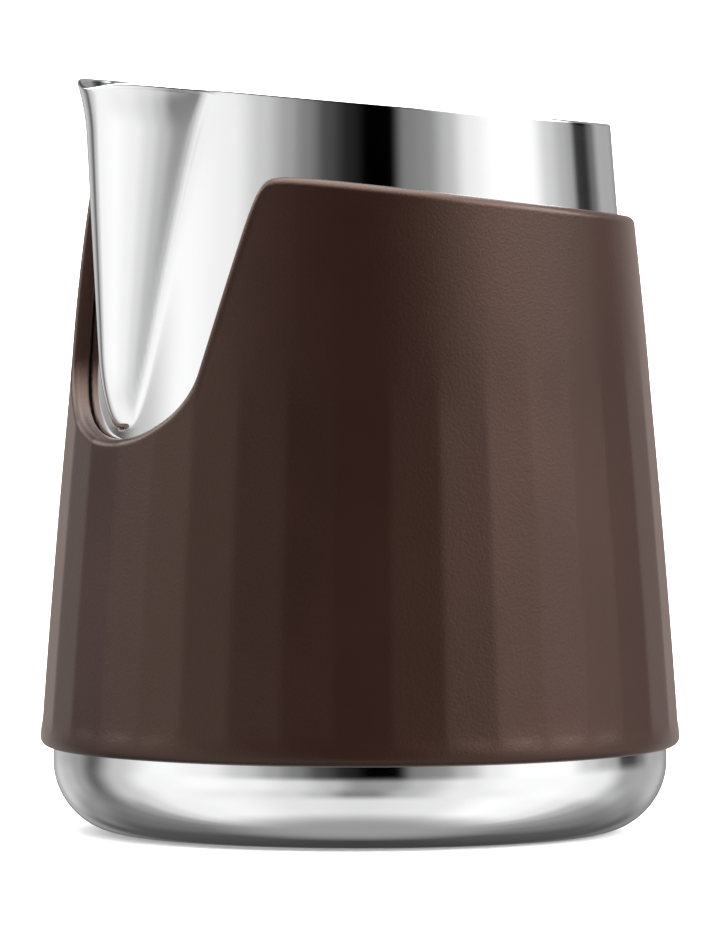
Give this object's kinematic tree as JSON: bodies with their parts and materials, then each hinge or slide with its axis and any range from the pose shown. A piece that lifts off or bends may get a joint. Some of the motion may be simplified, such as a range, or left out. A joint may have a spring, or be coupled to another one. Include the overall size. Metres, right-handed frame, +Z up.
{
  "type": "milk frothing jug",
  "caption": "Handle-less steel jug for frothing milk, with a V spout, a rounded foot and a removable fluted soft grip sleeve.",
  "frame": {"origin": "centre of the flat base, on the surface the jug stands on", "axes": "+Z up along the jug's axis, -Y towards the spout, +X to the right when the spout faces the viewer"},
  "size_m": [0.0914, 0.0914, 0.1084],
  "materials": {
    "polished_steel": "mirror polished",
    "brown_silicone": "fine matte"
  },
  "bodies": {
    "jug": {"vessel": "polished_steel"},
    "sleeve": {"grip_sleeve": "brown_silicone"}
  },
  "joints": [
    {"name": "sleeve_slide", "type": "slide", "parent": "jug", "child": "sleeve", "axis": [0, 0, 1], "range_m": [0, 0.1], "deforming": ["grip_sleeve"]}
  ]
}
